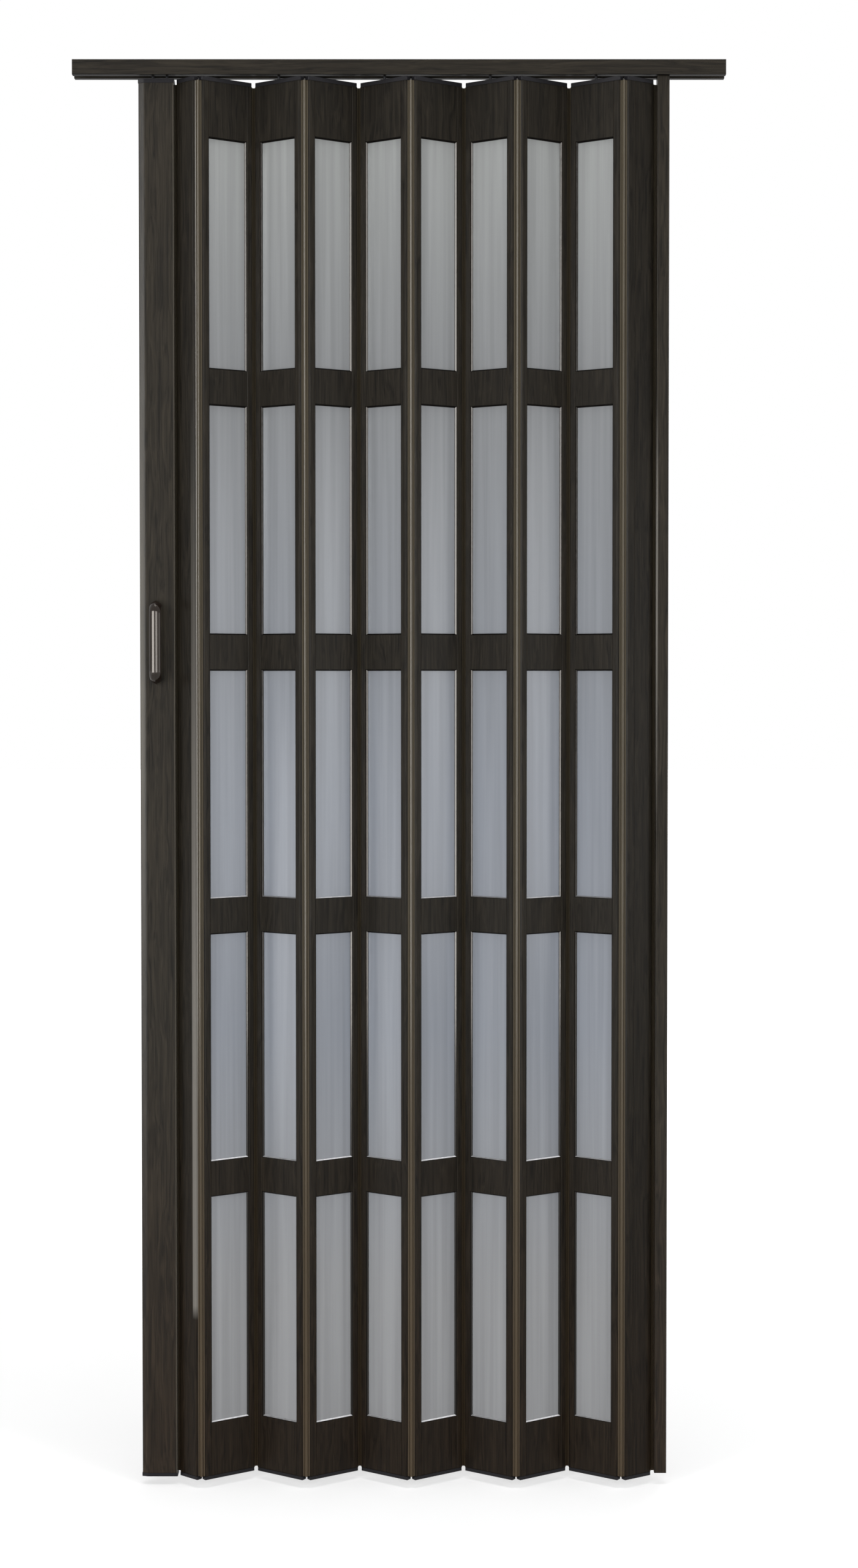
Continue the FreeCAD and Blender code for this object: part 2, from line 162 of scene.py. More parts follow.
class DoorFinishes(bpy.types.PropertyGroup):
    """Colours, glosses and grain of the door, and colours that paint light and shade on it"""

    foil_ground: colour_value(
        "Foil ground", "Lighter ground between the grain lines", seen_colour(52, 47, 39)
    )
    foil_grain: colour_value("Foil grain", "Dark lines of the wood grain", seen_colour(17, 15, 12))
    foil_warm: colour_value(
        "Foil warmth", "Tint that turns the foil browner near the floor", seen_colour(255, 234, 220)
    )
    foil_worn: colour_value("Foil wear", "Colour of rubbed edges", seen_colour(78, 71, 60))
    # Painted highlight on the closing edge of the handle post, and the pale line on its inner edge.
    foil_highlight_and_rub: colour_value(
        "Rubbed foil", "Foil rubbed light where hands pass", seen_colour(94, 89, 79)
    )
    # Painted highlight on the wall post's edge, and pale scuffs on the end panel at the handle
    # post.
    foil_scuff_and_highlight: colour_value(
        "Scuffed foil", "Foil scuffed pale on a sharp edge", seen_colour(138, 134, 127)
    )
    foil_roughness: share_value("Foil roughness", "Roughness of the satin foil", 0.30)
    # The posts' and the rail's lifts paint sheen from the front into the foil colour.
    post_sheen_lift: lift_value("Post lift", "How much lighter the foil of the posts is", 1.4)
    rail_sheen_lift: lift_value("Rail lift", "How much lighter the foil of the top rail is", 1.2)
    wall_panel_lift: lift_value(
        "Wall panel lift", "How light the foil of the end panel at the wall post is", 0.84
    )
    grain_width: length_value("Grain width", "Width of one grain line", 0.0011)
    grain_length: length_value("Grain length", "Length of one grain line", 0.11)
    # The panes' greys by height are painted light: lighter at the top and near the floor, bluish in
    # the middle.
    pane_lit_top: colour_value(
        "Pane at the top", "Grey of the panes at the top", seen_colour(159, 161, 160)
    )
    pane_upper: colour_value(
        "Upper pane", "Grey of the panes a quarter down", seen_colour(140, 142, 144)
    )
    pane_blue_lit_middle: colour_value(
        "Pane in the middle", "Grey of the panes half way up", seen_colour(140, 145, 154)
    )
    pane_lit_bottom: colour_value(
        "Pane at the bottom", "Grey of the panes near the floor", seen_colour(153, 154, 156)
    )
    pane_roughness: share_value("Pane roughness", "Roughness of the frosted panes", 0.20)
    flute_width: length_value("Flute width", "Width of the fine upright flutes in a pane", 0.0016)
    bead_colour: colour_value("Bead", "Dark beads round the panes", seen_colour(16, 14, 12))
    # Painted pale highlight on the lower beads that look up.
    bead_highlight_colour: colour_value(
        "Dust", "Pale dust on the lower beads that look up", seen_colour(250, 250, 252)
    )
    strip_colour: colour_value(
        "Hinge strip", "Taupe of the soft hinge strips", seen_colour(92, 84, 69)
    )
    # Painted shade on the faces that look down.
    underside_shade_colour: colour_value(
        "Bare plastic", "Dark plastic where the foil stops", seen_colour(22, 20, 18)
    )
    cap_colour: colour_value("End cap", "Black of the end caps", seen_colour(22, 21, 24))
    glider_colour: colour_value("Glider", "Dark grey nylon of the gliders", seen_colour(58, 58, 60))
    handle_colour: colour_value(
        "Handle", "Dark brown of the glossy handle", seen_colour(30, 23, 19)
    )


class DoorSizes(bpy.types.PropertyGroup):
    """Sizes of the handle, and the sizes that say how each panel is turned"""

    panel_width: length_value(
        "Panel width", "Distance between the hinge lines of a panel", 0.0906
    )
    handle_width: length_value(
        "Handle width", "Width of the bow handle", handle_high.x - handle_low.x
    )
    handle_bar: length_value("Handle bar", "Depth of the handle's bar", 0.0100)
    handle_bend: length_value("Handle bend", "Outer radius of the handle's bends", 0.0200)
    post_hinge_back: length_value(
        "Post hinge setback", "Hinge line at the posts behind the middle", 0.0045
    )
    handle_panel_run: length_value(
        "Handle panel run", "Run of the end panel at the handle post", 0.0340
    )
    wall_panel_run: length_value(
        "Wall panel run", "Run of the end panel at the wall post", 0.0464
    )


class StudioSettings(bpy.types.PropertyGroup):
    """Camera, floor and sky of the studio"""

    camera_x: bpy.props.FloatProperty(
        name="Camera across",
        description="Camera to the right of the rail's middle",
        default=0.0550,
        unit="LENGTH",
    )
    camera_distance: length_value(
        "Camera distance", "Camera in front of the door's middle", 3.6254
    )
    camera_drop: length_value("Camera drop", "Camera below the rail's top", 0.880)
    camera_pitch: bpy.props.FloatProperty(
        name="Camera pitch",
        description="Downward tilt of the camera",
        default=math.radians(1.6),
        unit="ROTATION",
    )
    lens: bpy.props.FloatProperty(
        name="Lens", description="Focal length in millimetres", default=58.26, min=1.0
    )
    shift_x: bpy.props.FloatProperty(
        name="Shift across", description="Sideways shift of the view", default=-0.0057
    )
    shift_y: bpy.props.FloatProperty(
        name="Shift up", description="Upward shift of the view", default=-0.0195
    )
    floor_gap: length_value("Floor gap", "Clear height under the leaf", 0.012)
    floor_size: length_value("Floor size", "Side of the square floor", 60.0)
    sky_strength: share_value("Sky light", "Even light from all round, where 1 is white", 0.40)


# Materials


def add(tree, kind, inputs=None, **options):
    """Adds a node of a kind, with its options and its unlinked inputs."""
    node = tree.nodes.new("ShaderNode" + kind)
    for name, value in options.items():
        setattr(node, name, value)
    for name, value in (inputs or {}).items():
        node.inputs[name].default_value = value
    return node


def join(tree, source, target):
    """Links an output to an input."""
    tree.links.new(source, target)


def new_finish(name, **surface):
    """A material with a Principled shader whose even values are set on its own sockets."""
    material = bpy.data.materials.new(name)
    material.use_nodes = True
    tree = material.node_tree
    shader = tree.nodes["Principled BSDF"]
    for socket, value in surface.items():
        shader.inputs[socket.replace("_", " ")].default_value = value
    return material, tree, shader


def stretched(tree, across, along, turn=0.0, shift=(0.0, 0.0, 0.0), upright=True):
    """Object coordinates in units of one mark that is so wide and so long, turned about Z."""
    place = add(tree, "TexCoord")
    fine = 1.0 / across
    coarse = 1.0 / along
    scale = (fine, fine, coarse) if upright else (coarse, fine, fine)
    spun = add(tree, "Mapping", {"Rotation": (0.0, 0.0, turn)})
    sized = add(tree, "Mapping", {"Scale": scale, "Location": shift})
    join(tree, place.outputs["Object"], spun.inputs["Vector"])
    join(tree, spun.outputs["Vector"], sized.inputs["Vector"])
    return sized.outputs["Vector"]


def noise(tree, coordinates, detail, roughness=0.5):
    """Noise over the given coordinates, from about 0 to 1."""
    node = add(tree, "TexNoise", {"Scale": 1.0, "Detail": detail, "Roughness": roughness})
    join(tree, coordinates, node.inputs["Vector"])
    return node.outputs["Fac"]


def spread(tree, value, low, high, to_low=0.0, to_high=1.0):
    """Maps a value from one range to another and stops at its ends."""
    node = add(
        tree, "MapRange", {"From Min": low, "From Max": high, "To Min": to_low, "To Max": to_high}
    )
    join(tree, value, node.inputs["Value"])
    return node.outputs["Result"]


def blend(tree, share, first, second, mode="MIX"):
    """Mixes two colours, each given as a colour or an output, by a share."""
    node = add(tree, "Mix", data_type="RGBA", blend_type=mode)
    if isinstance(share, float):
        node.inputs["Factor"].default_value = share
    else:
        join(tree, share, node.inputs["Factor"])
    for socket, value in ((node.inputs[6], first), (node.inputs[7], second)):
        if isinstance(value, bpy.types.NodeSocket):
            join(tree, value, socket)
        else:
            socket.default_value = tuple(value) + (1.0,)
    return node.outputs[2]


def reckon(tree, operation, first, second):
    """Math of two values, each given as a number or an output."""
    node = add(tree, "Math", operation=operation)
    for socket, value in zip(node.inputs, (first, second)):
        if isinstance(value, bpy.types.NodeSocket):
            join(tree, value, socket)
        else:
            socket.default_value = value
    return node.outputs["Value"]


def weighed(tree, first, first_weight, second, second_weight):
    """Sum of two outputs, each times its weight."""
    first_part = reckon(tree, "MULTIPLY", first, first_weight)
    second_part = reckon(tree, "MULTIPLY", second, second_weight)
    return reckon(tree, "ADD", first_part, second_part)


def times(colour, factor):
    """A colour made lighter or darker by a factor, no lighter than white."""
    return tuple(min(1.0, part * factor) for part in colour)


def edge_share(tree, radius, broken_by):
    """Share of wear and the rounded normal.

    The share is 1 on sharp outer edges, found where the rounded normal leaves the flat one, times
    the given output, which breaks it up.
    """
    rounded = add(tree, "Bevel", {"Radius": radius}, samples=4)
    flat = add(tree, "NewGeometry")
    agree = add(tree, "VectorMath", operation="DOT_PRODUCT")
    join(tree, rounded.outputs["Normal"], agree.inputs[0])
    join(tree, flat.outputs["Normal"], agree.inputs[1])
    sharp = spread(tree, agree.outputs["Value"], 0.985, 0.86)
    return reckon(tree, "MULTIPLY", sharp, broken_by), rounded.outputs["Normal"]


def ripple(tree, height, strength, distance, shader, normal=None):
    """Bump on a shader from a height of 0 to 1."""
    bump = add(tree, "Bump", {"Strength": strength, "Distance": distance})
    join(tree, height, bump.inputs["Height"])
    if normal is not None:
        join(tree, normal, bump.inputs["Normal"])
    join(tree, bump.outputs["Normal"], shader.inputs["Normal"])


def looks_along(tree, axis):
    """How far a surface looks along an axis, from -1 to 1."""
    parts = add(tree, "SeparateXYZ")
    join(tree, add(tree, "NewGeometry").outputs["Normal"], parts.inputs["Vector"])
    return parts.outputs[axis]


def place_along(tree, axis):
    """X, Y or Z of the Object coordinates."""
    place = add(tree, "TexCoord")
    parts = add(tree, "SeparateXYZ")
    join(tree, place.outputs["Object"], parts.inputs["Vector"])
    return parts.outputs[axis]


def pushed(tree, coordinates, push):
    """Coordinates moved by a vector output."""
    moved = add(tree, "VectorMath", operation="ADD")
    join(tree, coordinates, moved.inputs[0])
    join(tree, push, moved.inputs[1])
    return moved.outputs["Vector"]


def wood_foil(name, finishes, turn, seed, upright=True, lift=1.0, highlights_and_rubs=(), sheen=PANEL_SHEEN):
    """Dark wood foil: fine pores in slightly wavy grain, broad tone bands, rubbed edges, satin.

    The grain stands upright or runs along the rail, is turned about Z with its panel, and starts
    at a place of its own for each seed. Lift makes the foil lighter or darker; on the posts and the
    rail it paints sheen from the front. Each entry of the list of edge lines gives where across the
    door the foil starts to turn lighter, where it is fully so, the colour that it takes, and the
    pairs of heights over which it comes in; on the closing edge and the wall post's edge these are
    painted highlights. Undersides are painted dark as shade, and dull.
    """
    material, tree, shader = new_finish(name, Specular_IOR_Level=sheen)
    layout = (turn, (seed * 7.3, seed * 3.1, seed * 1.7), upright)
    wave = noise(tree, stretched(tree, *GRAIN_WAVE, *layout), 2.0)
    sway = reckon(tree, "MULTIPLY", wave, 7.0)
    sideways = add(tree, "CombineXYZ")
    join(tree, sway, sideways.inputs["X" if upright else "Z"])
    join(tree, sway, sideways.inputs["Y"])
    push = sideways.outputs["Vector"]
    pores_at = stretched(tree, finishes.grain_width, finishes.grain_length, *layout)
    pores = noise(tree, pushed(tree, pores_at, push), 4.0, 0.62)
    bands = noise(tree, pushed(tree, stretched(tree, *GRAIN_FIGURE, *layout), push), 2.0)
    patches = noise(tree, stretched(tree, *WORN_PATCH, *layout), 2.0)

    lines = spread(tree, pores, 0.38, 0.66)
    figure = spread(tree, bands, 0.30, 0.70)
    tone = weighed(tree, lines, 0.45, figure, 0.5)
    colour = blend(tree, tone, times(finishes.foil_grain, lift), times(finishes.foil_ground, lift))
    height = place_along(tree, "Z")
    warmth = spread(tree, height, *FOIL_WARMS)
    colour = blend(tree, warmth, colour, finishes.foil_warm, "MULTIPLY")
    rubbed, rounded = edge_share(tree, 0.0005, spread(tree, patches, 0.35, 0.60, 0.15, 0.75))
    colour = blend(tree, rubbed, colour, finishes.foil_worn)
    # Pale lines along edges: painted highlights on the closing edge and the wall post's edge.
    for start, stop, lightened_to, heights in highlights_and_rubs:
        line_share = spread(tree, place_along(tree, "X"), start, stop, 0.0, EDGE_LINE_SHARE)
        for none, full in heights:
            line_share = reckon(tree, "MULTIPLY", line_share, spread(tree, height, none, full))
        colour = blend(tree, line_share, colour, lightened_to)
    # Faces that look down get painted shade and little gloss.
    under = spread(tree, looks_along(tree, "Z"), -0.5, -0.9)
    join(tree, blend(tree, under, colour, finishes.underside_shade_colour), shader.inputs["Base Color"])
    gloss = spread(tree, under, 0.0, 1.0, sheen, UNDERSIDE_SHEEN)
    join(tree, gloss, shader.inputs["Specular IOR Level"])
    dullness = weighed(tree, pores, 0.10, patches, 0.08)
    dullness = reckon(tree, "ADD", dullness, finishes.foil_roughness - 0.06)
    join(tree, dullness, shader.inputs["Roughness"])
    ripple(tree, weighed(tree, lines, 1.0, patches, 2.0), 0.22, 0.00012, shader, rounded)
    return material


def frosted_pane(name, finishes):
    """Frosted glazing sheet with fine upright flutes, which smear its reflections sideways.

    Its grey follows the height as painted light: lightest at the top, darker a quarter down,
    painted bluish light in the middle, and lighter again near the floor.
    """
    material, tree, shader = new_finish(name, Specular_IOR_Level=0.5)
    flutes = noise(tree, stretched(tree, finishes.flute_width, FLUTE_LENGTH), 3.0, 0.6)
    bands = noise(tree, stretched(tree, *PANE_BAND), 2.0)
    grit = noise(tree, stretched(tree, *PANE_GRIT), 1.0)
    tone = weighed(tree, flutes, 0.4, spread(tree, bands, 0.36, 0.64), 0.6)
    height = place_along(tree, "Z")
    # Painted light by height: lighter top, bluish middle, lighter bottom.
    grey = finishes.pane_lit_top
    painted_greys = (finishes.pane_upper, finishes.pane_blue_lit_middle, finishes.pane_lit_bottom)
    for heights, lower in zip(PANE_LIGHT_HEIGHTS, painted_greys):
        grey = blend(tree, spread(tree, height, *heights), grey, lower)
    shade = spread(tree, tone, 0.0, 1.0, 0.90, 1.16)
    join(tree, blend(tree, 1.0, grey, shade, "MULTIPLY"), shader.inputs["Base Color"])
    middle = finishes.pane_roughness
    dullness = spread(tree, grit, 0.3, 0.7, middle - 0.04, middle + 0.06)
    join(tree, dullness, shader.inputs["Roughness"])
    ripple(tree, weighed(tree, flutes, 1.0, grit, 0.08), 0.30, 0.00010, shader)
    return material


def glossy_bead(name, finishes):
    """Dark bead with faint length marks, and a painted pale highlight where it looks up near the
    floor, in specks, strongest where the bead faces right.

    Only the upright slopes that face the front are glossy. The flat edges and the slopes above and
    below a pane stay dull.
    """
    material, tree, shader = new_finish(
        name, Specular_IOR_Level=0.20, Specular_Tint=(1.0, 0.95, 0.89, 1.0)
    )
    marks = noise(tree, stretched(tree, *BEAD_MARK), 3.0)
    specks = noise(tree, stretched(tree, *BEAD_SPECK), 3.0)
    colour = blend(tree, marks, finishes.bead_colour, times(finishes.bead_colour, 1.7))
    up = looks_along(tree, "Z")
    right = looks_along(tree, "X")
    # Painted highlight: pale on the lower beads that look up, broken into specks, strongest where
    # the bead faces right.
    painted_highlight = spread(tree, up, 0.3, 0.6)
    for thinned in (
        spread(tree, specks, 0.2, 0.6, 0.7, 1.0),
        spread(tree, place_along(tree, "Z"), *BEAD_HIGHLIGHT_HEIGHTS),
        spread(tree, right, -0.25, 0.25, 0.35, 1.0),
    ):
        painted_highlight = reckon(tree, "MULTIPLY", painted_highlight, thinned)
    join(tree, blend(tree, painted_highlight, colour, finishes.bead_highlight_colour), shader.inputs["Base Color"])
    to_front = spread(tree, reckon(tree, "ABSOLUTE", right, 0.0), 0.50, 0.44)
    upright = spread(tree, reckon(tree, "ABSOLUTE", up, 0.0), 0.30, 0.10)
    slopes = reckon(tree, "MULTIPLY", to_front, upright)
    join(tree, spread(tree, slopes, 0.0, 1.0, 0.05, 0.28), shader.inputs["Specular IOR Level"])
    join(tree, spread(tree, specks, 0.3, 0.8, 0.10, 0.18), shader.inputs["Roughness"])
    ripple(tree, marks, 0.12, 0.00006, shader)
    return material


def soft_strip(name, finishes):
    """Soft taupe plastic drawn lengthwise, with flow lines, cloudy gloss and a warmer foot."""
    material, tree, shader = new_finish(name, Specular_IOR_Level=0.15)
    flow = noise(tree, stretched(tree, *STRIP_FLOW), 3.0)
    cloud = noise(tree, stretched(tree, *STRIP_CLOUD), 2.0)
    tone = weighed(tree, flow, 0.6, cloud, 0.5)
    colour = blend(tree, tone, times(finishes.strip_colour, 0.72), finishes.strip_colour)
    warmth = spread(tree, place_along(tree, "Z"), *STRIP_WARMS, 0.0, 0.7)
    colour = blend(tree, warmth, colour, finishes.foil_warm, "MULTIPLY")
    join(tree, colour, shader.inputs["Base Color"])
    join(tree, spread(tree, cloud, 0.3, 0.7, 0.13, 0.22), shader.inputs["Roughness"])
    ripple(tree, flow, 0.2, 0.00008, shader)
    return material


def moulded_plastic(name, colour, roughness, specular, grain, depth, lighten, tint=(1, 1, 1)):
    """Moulded plastic with a fine spark-eroded grain, cloudy tone and rubbed edges.

    The grain is the width of a pit and the depth its bump, both in metres. The tone goes from the
    colour to one lighter by the factor lighten, and the tint colours the gloss.
    """
    material, tree, shader = new_finish(
        name, Specular_IOR_Level=specular, Specular_Tint=(*tint, 1.0)
    )
    pits = noise(tree, stretched(tree, grain, grain), 2.0, 0.6)
    cloud = noise(tree, stretched(tree, *PLASTIC_CLOUD), 2.0)
    body = blend(tree, cloud, colour, times(colour, lighten))
    rubbed, rounded = edge_share(tree, 0.0004, spread(tree, cloud, 0.4, 0.65, 0.1, 0.6))
    worn = times(colour, lighten * 1.8)
    join(tree, blend(tree, rubbed, body, worn), shader.inputs["Base Color"])
    dullness = spread(tree, pits, 0.3, 0.7, roughness - 0.05, roughness + 0.06)
    join(tree, dullness, shader.inputs["Roughness"])
    ripple(tree, pits, 0.25, depth, shader, rounded)
    return material


def dress(node, material):
    """Gives a solid of the frame its finish in place of the plain one."""
    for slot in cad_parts[node].material_slots:
        slot.material = material


# New pieces

# Numbers of points along a straight foot, along a bend or the bar, and round the handle's back.
FOOT_STEPS = 7
BEND_STEPS = 18
BACK_STEPS = 18

# Power that flattens the half round of the handle's back.
BACK_POWER = 0.55

# Front of the handle's section, from its left edge: share of the width, share of the depth behind
# the ridge. Two nearly flat flanks meet in a narrow ridge and roll over at the edges.
BAR_FRONT = (
    (0.000, 1.000),
    (0.018, 0.815),
    (0.045, 0.681),
    (0.090, 0.528),
    (0.140, 0.393),
    (0.200, 0.267),
    (0.250, 0.187),
    (0.270, 0.164),
    (0.285, 0.152),
    (0.435, 0.030),
    (0.450, 0.017),
    (0.470, 0.005),
    (0.492, 0.000),
    (0.516, 0.006),
    (0.542, 0.024),
    (0.566, 0.053),
    (0.578, 0.070),
    (0.678, 0.213),
    (0.690, 0.230),
    (0.730, 0.292),
    (0.800, 0.421),
    (0.870, 0.582),
    (0.930, 0.750),
    (0.965, 0.860),
    (0.985, 0.930),
    (1.000, 1.000),
)


def surface_piece(name, grid, material):
    """Mesh of a grid of points, rows along the piece and columns round it, closed all round.

    Each face joins a point, the next in its row, and the two below them. The first and last
    rows are closed by a fan to their middle.
    """
    rows, columns = grid.shape[:2]
    points = grid.reshape(-1, 3)
    left = np.arange(rows * columns).reshape(rows, columns)
    right = np.roll(left, -1, axis=1)
    quads = np.stack((left[:-1], right[:-1], right[1:], left[1:]), axis=-1).reshape(-1, 4)
    first_middle = np.full(columns, rows * columns)
    first_fan = np.stack((right[0], left[0], first_middle), axis=-1)
    last_fan = np.stack((left[-1], right[-1], first_middle + 1), axis=-1)
    middles = (points[left[0]].mean(axis=0), points[left[-1]].mean(axis=0))
    points = np.vstack((points, *middles))
    faces = quads.tolist() + first_fan.tolist() + last_fan.tolist()
    mesh = bpy.data.meshes.new(name)
    mesh.from_pydata(points.tolist(), [], faces)
    mesh.materials.append(material)
    mesh.shade_smooth()
    piece = bpy.data.objects.new(name, mesh)
    bpy.context.collection.objects.link(piece)
    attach(piece, "root")
    return piece


def bow_path(low, high, face_y, front_y, bend):
    """Middle line of the bow and its outward direction, in the plane of Y and Z.

    From the lower foot straight out, round a quarter circle with the sine across and the cosine
    up, and up to the middle. The upper half is the same, mirrored at the middle height.
    """
    foot = np.linspace(0.0, 1.0, FOOT_STEPS + 1)[:-1]
    turn = np.linspace(0.0, math.pi / 2, BEND_STEPS)
    rise = np.linspace(0.0, 1.0, BEND_STEPS)[1 : BEND_STEPS // 2]
    bend_y = front_y + bend
    bend_z = low + bend
    foot_line = np.stack((face_y + foot * (bend_y - face_y), np.full(foot.size, low)), axis=-1)
    bend_line = np.stack((bend_y - bend * np.sin(turn), bend_z - bend * np.cos(turn)), axis=-1)
    bar_z = bend_z + rise * (high - low - 2 * bend)
    bar_line = np.stack((np.full(rise.size, front_y), bar_z), axis=-1)
    foot_out = np.tile((0.0, -1.0), (foot.size, 1))
    bend_out = np.stack((-np.sin(turn), -np.cos(turn)), axis=-1)
    bar_out = np.tile((-1.0, 0.0), (rise.size, 1))
    line = np.vstack((foot_line, bend_line, bar_line))
    out = np.vstack((foot_out, bend_out, bar_out))
    upper_line = line[::-1] * (1.0, -1.0) + (0.0, low + high)
    upper_out = out[::-1] * (1.0, -1.0)
    return np.vstack((line, upper_line)), np.vstack((out, upper_out))


def bow_surface(low, high, width, bar, bend, face_y):
    """Grid of the bow handle between two corners of its box, on a post whose face is at face_y.

    At each place on the middle line stands a section whose front follows BAR_FRONT and whose
    back is a flattened half round: across is the cosine and depth the sine of an angle, each to
    the power BACK_POWER. The width is cut back by a half circle at both ends, so that the handle
    is round-ended from the front: width at height z is the chord of that circle.
    """
    half_width = width / 2
    half_bar = bar / 2
    line, outward = bow_path(
        low.z + half_bar, high.z - half_bar, face_y, low.y + half_bar, bend - half_bar
    )
    front = np.array(BAR_FRONT)[::-1]
    angle = np.linspace(math.pi, 2 * math.pi, BACK_STEPS + 2)[1:-1]
    back_across = np.sign(np.cos(angle)) * np.abs(np.cos(angle)) ** BACK_POWER
    back_depth = np.abs(np.sin(angle)) ** BACK_POWER
    across = np.concatenate((2 * front[:, 0] - 1, back_across))
    depth = half_bar * np.concatenate((1 - front[:, 1], -back_depth))
    y = line[:, :1] + outward[:, :1] * depth[None, :]
    z = line[:, 1:] + outward[:, 1:] * depth[None, :]
    middle = (low.z + high.z) / 2
    beyond = np.clip(np.abs(z - middle) - ((high.z - low.z) / 2 - half_width), 0.0, half_width)
    chord = np.sqrt(np.clip(half_width**2 - beyond**2, 1e-9, None))
    x = (low.x + high.x) / 2 + across[None, :] * chord
    return np.stack((x, y, z), axis=-1)


# The operators, one for each piece or group of like pieces


def settings():
    """The three groups of values that the scene holds."""
    scene = bpy.context.scene
    return scene.door_finishes, scene.door_sizes, scene.door_studio


def panel_turns(sizes):
    """Angle of each glazed panel in plan, found from the distance between panel middles."""
    middles = []
    for number in range(1, PANEL_COUNT + 1):
        low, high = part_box("panel_%d_stiles" % number)
        middles.append((low.x + high.x) / 2)
    pitch = (middles[-1] - middles[0]) / (PANEL_COUNT - 1)
    angle = math.acos(pitch / sizes.panel_width)
    return [angle if number % 2 == 0 else -angle for number in range(PANEL_COUNT)]


class DOOR_OT_top_rail(bpy.types.Operator):
    """Covers the top rail in foil whose grain runs along it"""

    bl_idname = "door.top_rail"
    bl_label = "Top rail"

    def execute(self, context):
        finishes = settings()[0]
        # The rail's lift paints sheen from the front into the foil colour.
        lift = finishes.rail_sheen_lift
        foil = wood_foil("rail_foil", finishes, 0.0, 11.0, False, lift, sheen=POST_SHEEN)
        dress("top_rail", foil)
        return {"FINISHED"}


class DOOR_OT_posts(bpy.types.Operator):
    """Covers the handle post and the wall post in foil with pale lines along its edges, painted
    highlights on the closing edge and the wall post's edge
    """

    bl_idname = "door.posts"
    bl_label = "Posts"

    def execute(self, context):
        finishes = settings()[0]
        # These colours paint highlights on the closing edge and the wall post's edge; the inner
        # edge gets a plain pale line.
        rubbed = finishes.foil_highlight_and_rub
        scuffed = finishes.foil_scuff_and_highlight
        closing_edge = (*(post_low.x + far for far in CLOSING_EDGE_HIGHLIGHT), rubbed, CLOSING_EDGE_HIGHLIGHT_HEIGHTS)
        inner_edge = (*(post_high.x - far for far in INNER_EDGE_LINE), rubbed, ())
        wall_edge = (*(wall_low.x + far for far in WALL_EDGE_HIGHLIGHT), scuffed, WALL_EDGE_HIGHLIGHT_HEIGHTS)
        posts = (
            ("handle_post", 12.0, (closing_edge, inner_edge)),
            ("wall_post", 13.0, (wall_edge,)),
        )
        lift = finishes.post_sheen_lift
        for node, seed, highlights_and_rubs in posts:
            foil = wood_foil(node + "_foil", finishes, 0.0, seed, True, lift, highlights_and_rubs, POST_SHEEN)
            dress(node, foil)
        return {"FINISHED"}


class DOOR_OT_panels(bpy.types.Operator):
    """Covers the stiles and rails of all panels in foil, with its own stretch of grain on each"""

    bl_idname = "door.panels"
    bl_label = "Panels"

    def execute(self, context):
        finishes, sizes, _ = settings()
        for number, angle in enumerate(panel_turns(sizes), start=1):
            prefix = "panel_%d_" % number
            stile_foil = wood_foil(prefix + "stile_foil", finishes, -angle, float(number))
            rail_foil = wood_foil(prefix + "rail_foil", finishes, -angle, number + 20.0)
            dress(prefix + "stiles", stile_foil)
            dress(prefix + "rails", rail_foil)
        rise = (cad_high.y - cad_low.y) / 2 + sizes.post_hinge_back
        places = (post_high.x + far for far in END_PANEL_RUB)
        scuffs = ((*places, finishes.foil_scuff_and_highlight, END_PANEL_SCUFFS),)
        ends = (
            ("handle_end_panel", -1.0, sizes.handle_panel_run, 1.0, scuffs),
            ("wall_end_panel", 1.0, sizes.wall_panel_run, finishes.wall_panel_lift, ()),
        )
        for node, side, run, lift, highlights_and_rubs in ends:
            angle = side * math.atan2(rise, run)
            foil = wood_foil(node + "_foil", finishes, -angle, 15.0 + side, True, lift, highlights_and_rubs)
            dress(node, foil)
        return {"FINISHED"}


class DOOR_OT_panes(bpy.types.Operator):
    """Gives the panes their frosted, finely fluted finish"""

    bl_idname = "door.panes"
    bl_label = "Panes"

    def execute(self, context):
        glazing = frosted_pane("frosted_glazing", settings()[0])
        for number in range(1, PANEL_COUNT + 1):
            dress("panel_%d_panes" % number, glazing)
        return {"FINISHED"}


class DOOR_OT_beads(bpy.types.Operator):
    """Gives the beads round the panes their dark finish with glossy slopes and a painted pale
    highlight
    """

    bl_idname = "door.beads"
    bl_label = "Beads"

    def execute(self, context):
        gloss = glossy_bead("bead_gloss", settings()[0])
        for number in range(1, PANEL_COUNT + 1):
            dress("panel_%d_beads" % number, gloss)
        return {"FINISHED"}


class DOOR_OT_hinge_strips(bpy.types.Operator):
    """Gives the hinge strips their soft taupe finish"""

    bl_idname = "door.hinge_strips"
    bl_label = "Hinge strips"

    def execute(self, context):
        soft = soft_strip("strip_plastic", settings()[0])
        dress("front_hinge_strips", soft)
        dress("back_hinge_strips", soft)
        return {"FINISHED"}


class DOOR_OT_end_caps(bpy.types.Operator):
    """Gives the end caps at the top and the bottom their grained black finish"""

    bl_idname = "door.end_caps"
    bl_label = "End caps"

    def execute(self, context):
        colour = settings()[0].cap_colour
        black = moulded_plastic("cap_plastic", colour, 0.42, 0.16, 0.0006, 0.00008, 1.5)
        dress("top_caps", black)
        dress("bottom_caps", black)
        return {"FINISHED"}


class DOOR_OT_gliders(bpy.types.Operator):
    """Gives the gliders their dark nylon finish"""

    bl_idname = "door.gliders"
    bl_label = "Gliders"

    def execute(self, context):
        colour = settings()[0].glider_colour
        nylon = moulded_plastic("glider_nylon", colour, 0.28, 0.5, 0.0008, 0.00003, 1.3)
        dress("gliders", nylon)
        return {"FINISHED"}


